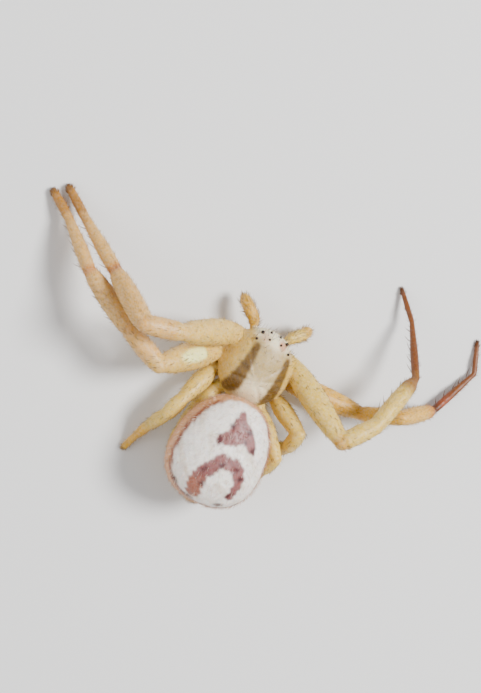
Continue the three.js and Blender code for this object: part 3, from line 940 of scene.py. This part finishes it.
def hair_batch(indices, length, radius, rise, spread, curl, tone, keep):
    """Numbers of a group of hairs, rooted at skin vertices. keep is how much skin colour they have."""
    count = len(indices)
    normal = normals[indices]
    lie = places["lie"][indices]
    lie = lie - normal * np.sum(lie * normal, axis=1)[:, None]
    lie /= np.maximum(np.linalg.norm(lie, axis=1), 1e-6)[:, None]
    beside = np.cross(normal, lie)
    turn = RANDOM.normal(0, spread, count)
    lie = lie * np.cos(turn)[:, None] + beside * np.sin(turn)[:, None]
    angle = np.clip(RANDOM.normal(rise, RISE_SPREAD, count), *RISE_LIMITS)
    start = lie * np.cos(angle)[:, None] + normal * np.sin(angle)[:, None]
    return {
        "root": coords[indices] - normal * radius,
        "start": start,
        "bend": lie * curl,
        "length": length * RANDOM.uniform(*LENGTH_SHARES, count),
        "radius": np.full(count, radius),
        "colour": tone * (1 - keep) + skin_tint[indices] * keep,
        "uv": atlas_place(indices),
    }


def joined(batches):
    return {key: np.concatenate([batch[key] for batch in batches]) for key in batches[0]}


def hair_points(hairs, per_hair):
    """Rings from the root of each hair and one point at its tip."""
    count = len(hairs["length"])
    across = np.cross(hairs["start"], ODD_WAY)
    across /= np.linalg.norm(across, axis=1)[:, None]
    other = np.cross(hairs["start"], across)
    points = np.zeros((count, per_hair, 3))
    for ring in range(HAIR_RINGS + 1):
        t = ring / HAIR_RINGS
        along = hairs["length"][:, None] * t
        centre = hairs["root"] + (hairs["start"] + hairs["bend"] * t) * along
        if ring == HAIR_RINGS:
            points[:, -1] = centre
            break
        radius = hairs["radius"][:, None] * (1 - HAIR_TAPER * t)
        for corner in range(HAIR_SIDES):
            angle = 2 * math.pi * corner / HAIR_SIDES
            offset = radius * (math.cos(angle) * across + math.sin(angle) * other)
            points[:, ring * HAIR_SIDES + corner] = centre + offset
    points[:, :, 2] = np.maximum(points[:, :, 2], FLOOR_GAP)
    return points


def hair_faces(count, per_hair):
    """Faces of all hairs. The root end stays open, as it is under the skin."""
    pattern = []
    for ring in range(HAIR_RINGS):
        for corner in range(HAIR_SIDES):
            a = ring * HAIR_SIDES + corner
            b = ring * HAIR_SIDES + (corner + 1) % HAIR_SIDES
            if ring < HAIR_RINGS - 1:
                pattern.append((a, b, b + HAIR_SIDES, a + HAIR_SIDES))
            else:
                pattern.append((a, b, per_hair - 1))
    return [tuple(h * per_hair + i for i in face) for h in range(count) for face in pattern]


def hair_object(name, hairs):
    per_hair = HAIR_RINGS * HAIR_SIDES + 1
    points = hair_points(hairs, per_hair)
    obj = placed_object(name, points.reshape(-1, 3), hair_faces(len(points), per_hair))
    paint(obj.data, np.repeat(hairs["colour"], per_hair, axis=0))
    layer = obj.data.uv_layers.new(name="OFBake")
    corners = np.empty(len(obj.data.loops), dtype=int)
    obj.data.loops.foreach_get("vertex_index", corners)
    ring, corner = np.divmod(np.arange(per_hair), HAIR_SIDES)
    patch = np.stack([ring / HAIR_RINGS, corner / HAIR_SIDES], axis=1) - 0.5
    uv = hairs["uv"][corners // per_hair] + PATCH_SIZE * patch[corners % per_hair]
    layer.data.foreach_set("uv", uv.ravel())
    return obj


def choose(mask, count):
    """Random skin vertices among those of the mask."""
    candidates = np.flatnonzero(mask)
    return RANDOM.choice(candidates, min(count, len(candidates)), replace=False)


BRISTLE = srgb(92, 60, 38)
SPINE = srgb(120, 78, 46)
HAIR_PALE = srgb(238, 214, 190)
HAIR_PINK = srgb(214, 160, 140)
on_limb = places["part"] == LIMB
is_leg = on_limb & (places["limb"] < len(LEGS))
is_palp = on_limb & (places["limb"] >= len(LEGS)) & (places["limb"] < len(LEGS) + 2)
on_abdomen = places["part"] == ABDOMEN
on_carapace = places["part"] == CARAPACE
upward = normals[:, 2] > 0.2
distal = places["run"] >= 3
HEAD_REAR_Y = -1.9
is_front = coords[:, 1] < HEAD_REAR_Y
is_rear = coords[:, 1] > HEAD_REAR_Y
is_foot_tip = is_leg & (places["run"] == 5) & (places["along"] > 0.8)

# Spines under the long legs: part of the leg, shares along it and turns round it
SPINE_ROWS = ((3, (0.2, 0.38, 0.56, 0.74)), (4, (0.12, 0.3, 0.48, 0.66, 0.84)))
SPINE_TURNS = (2.5, -2.5)
LAST_LONG_PAIR = 2


def spine_roots():
    """Skin vertices under two rows of spines below the tibia and metatarsus of the long legs."""
    roots = []
    for i, key in enumerate(LEGS):
        if LEGS[key][1] > LAST_LONG_PAIR:
            continue
        for run, shares in SPINE_ROWS:
            here = np.flatnonzero((places["limb"] == i) & (places["run"] == run) & on_limb)
            for share in shares:
                for turn in SPINE_TURNS:
                    miss = np.abs(places["along"][here] - share) * 2.5
                    miss += np.abs(places["turn"][here] - turn) * 0.4
                    roots.append(here[np.argmin(miss)])
    return np.array(roots)


# Kinds of hair: where, how many, length, radius, rise, spread, curl, colour and share of skin colour
LEG_HAIRS = [
    (is_leg, 7000, 0.2, 0.0065, 0.55, 0.35, -0.3, BRISTLE, 0.75),
    (is_leg & distal, 1800, 0.2, 0.007, 0.6, 0.35, -0.2, BRISTLE, 0.45),
    (is_leg & upward & ~distal, 420, 0.26, 0.012, 0.3, 0.2, -0.1, BRISTLE, 0.15),
    (is_foot_tip, 700, 0.13, 0.007, 0.7, 0.5, 0.1, BRISTLE, 0.4),
]
LEG_SPINES = (0.5, 0.022, 0.75, 0.05, 0.35, SPINE, 0.2)
BODY_HAIRS = [
    (on_abdomen, 3600, 0.15, 0.007, 0.75, 0.4, 0.2, HAIR_PINK, 0.78),
    (on_abdomen & upward, 300, 0.22, 0.009, 0.9, 0.4, 0.1, HAIR_PALE, 0.2),
    (on_carapace, 800, 0.12, 0.006, 0.5, 0.5, 0.0, HAIR_PALE, 0.9),
    (on_carapace & is_front, 70, 0.32, 0.011, 1.0, 0.5, 0.1, BRISTLE, 0.2),
    (on_carapace & is_rear, 50, 0.26, 0.01, 0.9, 0.5, 0.1, BRISTLE, 0.2),
    (is_palp, 520, 0.24, 0.009, 0.6, 0.35, 0.0, BRISTLE, 0.35),
    (places["part"] == UNDERSIDE, 300, 0.15, 0.007, 0.7, 0.4, 0.0, HAIR_PALE, 0.5),
]


def grown(kinds):
    return [hair_batch(choose(where, count), *look) for where, count, *look in kinds]


coat_legs = hair_object("coat_legs", joined(grown(LEG_HAIRS) + [hair_batch(spine_roots(), *LEG_SPINES)]))
coat_body = hair_object("coat_body", joined(grown(BODY_HAIRS)))

# Claws and fangs: length, radius at the root and bend in radians
CLAW = (0.16, 0.022, 1.1)
FANG = (0.24, 0.045, 0.9)
HOOK_STEPS = 8
HOOK_SIDES = 8
HOOK_TAPER = 0.93
# A claw's root, from the tip of its foot, and how far it splays. A fang's root, from the jaw's end.
CLAW_BACK, CLAW_APART, CLAW_LIFT, CLAW_SPLAY = 0.05, 0.035, 0.03, 0.25
FANG_BACK, FANG_LEAN = 0.06, 0.25


def hook(start, direction, down, length, radius, bend):
    """Rings of a small curved claw or fang."""
    direction = unit(direction)
    side = unit(np.cross(direction, down))
    rings = []
    for i in range(HOOK_STEPS):
        t = i / (HOOK_STEPS - 1)
        angle = bend * t
        centre = start + length * (direction * math.sin(angle) / bend + down * (1 - math.cos(angle)) / bend)
        ahead = direction * math.cos(angle) + down * math.sin(angle)
        third = np.cross(side, ahead)
        size = radius * (1 - HOOK_TAPER * t)
        rings.append(np.array([
            centre + size * (math.cos(a) * side + math.sin(a) * third)
            for a in np.linspace(0, 2 * math.pi, HOOK_SIDES, endpoint=False)
        ]))
    return rings


def hooks_object():
    """Two claws on each foot and a fang under each jaw."""
    for points in legs.values():
        tip = points[-1]
        direction = unit(tip - points[-2])
        level = np.cross(direction, UP)
        for side in (1, -1):
            start = tip - CLAW_BACK * direction + side * CLAW_APART * level + CLAW_LIFT * UP
            add_rings(hook(start, direction + side * CLAW_SPLAY * level, -UP, *CLAW))
    for jaw in JAWS:
        inward = np.array([-np.sign(jaw[2][0]), FANG_LEAN, 0.0])
        down = unit(jaw[2] - jaw[1])
        add_rings(hook(jaw[2] - FANG_BACK * down, down, unit(inward), *FANG))
    vertices, faces = gathered()
    vertices[:, 2] = np.maximum(vertices[:, 2], FLOOR_GAP)
    return placed_object("claws_and_fangs", vertices, faces)


claws = hooks_object()
LENS_SIDES = 28


def eye_object(node):
    """A smooth lens in the place and size of the eye's solid."""
    corner_low, corner_high = (np.array(corner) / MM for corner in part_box(node))
    centre = (corner_low + corner_high) / 2 - shift
    add_ball(centre, (corner_high - corner_low).max() / 2, LENS_SIDES)
    return placed_object(node.replace("eye_", "lens_"), *gathered())


EYES = [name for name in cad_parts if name.startswith("eye_")]
lenses = {name: eye_object(name) for name in EYES}

# Camera, from the photo
IMAGE_W, IMAGE_H = 481, 693
LENS, SENSOR = 100.0, 36.0
FOCAL = LENS / SENSOR * IMAGE_H
PIXELS_PER_MM = 26.6
YAW = math.radians(27)
ANCHOR = np.array([0.0, 2.0, 1.9])
ANCHOR_PIXEL = (217, 449)
CLIP_NEAR, CLIP_FAR = 0.001, 10


def set_camera():
    """Camera on the line TOWARD, with the anchor at its place in the picture."""
    forward = np.array([0, -1.0, 0])
    ahead = unit(forward - TOWARD * (forward @ TOWARD))
    beside = np.cross(ahead, TOWARD)
    image_up = ahead * math.cos(YAW) - beside * math.sin(YAW)
    image_right = ahead * math.sin(YAW) + beside * math.cos(YAW)
    distance = FOCAL / PIXELS_PER_MM
    dx = (ANCHOR_PIXEL[0] - IMAGE_W / 2) / FOCAL * distance
    dy = -(ANCHOR_PIXEL[1] - IMAGE_H / 2) / FOCAL * distance
    place = ANCHOR + TOWARD * distance - image_right * dx - image_up * dy + shift
    data = bpy.data.cameras.new("camera")
    data.lens = LENS
    data.sensor_width = SENSOR
    data.clip_start = CLIP_NEAR
    data.clip_end = CLIP_FAR
    camera = bpy.data.objects.new("camera", data)
    rotation = Matrix((image_right, image_up, TOWARD)).transposed().to_4x4()
    camera.matrix_world = Matrix.Translation(Vector(place * MM)) @ rotation
    bpy.context.scene.collection.objects.link(camera)
    bpy.context.scene.camera = camera


set_camera()

FLESH = [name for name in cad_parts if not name.startswith("eye_")]
SLOTS = [(skin, "legs"), (coat_legs, "legs"), (coat_body, "abdomen"), (claws, "feet_right_front")]
for piece, slot in SLOTS:
    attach(piece, "root")
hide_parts(*FLESH)
for node, lens in lenses.items():
    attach(lens, "root")
    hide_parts(node)


# Materials: about how many waves to a metre the noises have, and the usual range of a noise
CLOUD_WAVES = 3200
MOTTLE_WAVES = 11000
GRAIN_WAVES = 19000
SKIN_GLOSS_WAVES = 7000
SKIN_BUMP_WAVES = 16000
DARK_CLOUD_WAVES = 9000
DARK_GLOSS_WAVES = 14000
NOISE_ROUGHNESS = 0.55
MIDDLE = (0.3, 0.7)


def new_material(name):
    material = bpy.data.materials.new(name)
    material.use_nodes = True
    tree = material.node_tree
    return material, tree, tree.nodes["Principled BSDF"]


def noise(tree, waves, detail):
    """Noise in the object's own space."""
    place = tree.nodes.new("ShaderNodeTexCoord")
    texture = tree.nodes.new("ShaderNodeTexNoise")
    texture.inputs["Scale"].default_value = waves
    texture.inputs["Detail"].default_value = detail
    texture.inputs["Roughness"].default_value = NOISE_ROUGHNESS
    tree.links.new(place.outputs["Object"], texture.inputs["Vector"])
    return texture.outputs["Fac"]


def vary(tree, target, waves, ranges, detail=4.0):
    """An input that follows a noise: the range of the noise, and that of the input."""
    node = tree.nodes.new("ShaderNodeMapRange")
    for name, value in zip(("From Min", "From Max", "To Min", "To Max"), ranges):
        node.inputs[name].default_value = value
    tree.links.new(noise(tree, waves, detail), node.inputs["Value"])
    tree.links.new(node.outputs["Result"], target)


def tinted(tree, shader, strength):
    """The painted colour, made uneven in lightness and in saturation."""
    tint = tree.nodes.new("ShaderNodeAttribute")
    tint.attribute_name = "tint"
    shade = tree.nodes.new("ShaderNodeHueSaturation")
    vivid = tree.nodes.new("ShaderNodeHueSaturation")
    tree.links.new(tint.outputs["Color"], shade.inputs["Color"])
    tree.links.new(shade.outputs["Color"], vivid.inputs["Color"])
    tree.links.new(vivid.outputs["Color"], shader.inputs["Base Color"])
    vary(tree, shade.inputs["Value"], CLOUD_WAVES, (*MIDDLE, 1 - strength, 1 + strength))
    vary(tree, vivid.inputs["Saturation"], MOTTLE_WAVES, (0.35, 0.65, 0.9, 1.12), 2.0)
    vary(tree, vivid.inputs["Value"], GRAIN_WAVES, (0.35, 0.7, 1.05, 0.9), 3.0)


def skin_material():
    material, tree, shader = new_material("skin")
    tinted(tree, shader, 0.08)
    vary(tree, shader.inputs["Roughness"], SKIN_GLOSS_WAVES, (*MIDDLE, 0.36, 0.56))
    bump = tree.nodes.new("ShaderNodeBump")
    bump.inputs["Distance"].default_value = 0.02 * MM
    bump.inputs["Strength"].default_value = 0.5
    tree.links.new(noise(tree, SKIN_BUMP_WAVES, 5.0), bump.inputs["Height"])
    tree.links.new(bump.outputs["Normal"], shader.inputs["Normal"])
    shader.inputs["Subsurface Weight"].default_value = 0.22
    shader.inputs["Subsurface Radius"].default_value = (1.0, 0.55, 0.3)
    shader.inputs["Subsurface Scale"].default_value = 0.2 * MM
    return material


def coat_material():
    material, tree, shader = new_material("coat")
    tinted(tree, shader, 0.12)
    shader.inputs["Roughness"].default_value = 0.5
    return material


def dark_material(name, dark, light, gloss):
    """Hard dark parts with a faint lighter cloud in them."""
    material, tree, shader = new_material(name)
    ramp = tree.nodes.new("ShaderNodeValToRGB")
    for element, position, colour in zip(ramp.color_ramp.elements, (0.35, 0.75), (dark, light)):
        element.position = position
        element.color = (*colour, 1)
    tree.links.new(noise(tree, DARK_CLOUD_WAVES, 4.0), ramp.inputs["Fac"])
    tree.links.new(ramp.outputs["Color"], shader.inputs["Base Color"])
    vary(tree, shader.inputs["Roughness"], DARK_GLOSS_WAVES, (*MIDDLE, *gloss))
    return material


def dress(obj, material):
    obj.data.materials.clear()
    obj.data.materials.append(material)


dress(skin, skin_material())
coat = coat_material()
dress(coat_legs, coat)
dress(coat_body, coat)
dress(claws, dark_material("claw", srgb(58, 34, 20), srgb(120, 74, 44), (0.25, 0.4)))
eye_glass = dark_material("eye", srgb(22, 14, 10), srgb(64, 38, 22), (0.05, 0.12))
for lens in lenses.values():
    dress(lens, eye_glass)

# Floor and light, in metres and watts
FLOOR_HALF = 0.4
FLOOR_COLOUR = (0.8, 0.79, 0.77, 1)
SKY_COLOUR = (0.9, 0.93, 1.0, 1)
SKY_STRENGTH = 0.47
LIGHTS = [
    ("key", (-0.06, -0.05, 0.12), 0.05, 0.36),
    ("fill", (0.1, 0.04, 0.1), 0.12, 0.1),
]


def add_floor():
    corners = [(x * FLOOR_HALF, y * FLOOR_HALF, 0) for x, y in ((-1, -1), (1, -1), (1, 1), (-1, 1))]
    floor = mesh_object("floor", corners, [(0, 1, 2, 3)])
    material, _, shader = new_material("floor")
    shader.inputs["Base Color"].default_value = FLOOR_COLOUR
    shader.inputs["Roughness"].default_value = 0.7
    dress(floor, material)
    return floor


def add_light(name, place, size, power):
    data = bpy.data.lights.new(name, "AREA")
    data.shape = "DISK"
    data.size = size
    data.energy = power
    lamp = bpy.data.objects.new(name, data)
    lamp.location = place
    lamp.rotation_euler = (-Vector(place)).to_track_quat("-Z", "Y").to_euler()
    bpy.context.scene.collection.objects.link(lamp)


floor = add_floor()
for light in LIGHTS:
    add_light(*light)
world = bpy.data.worlds.new("world")
world.use_nodes = True
world.node_tree.nodes["Background"].inputs["Color"].default_value = SKY_COLOUR
world.node_tree.nodes["Background"].inputs["Strength"].default_value = SKY_STRENGTH
bpy.context.scene.world = world
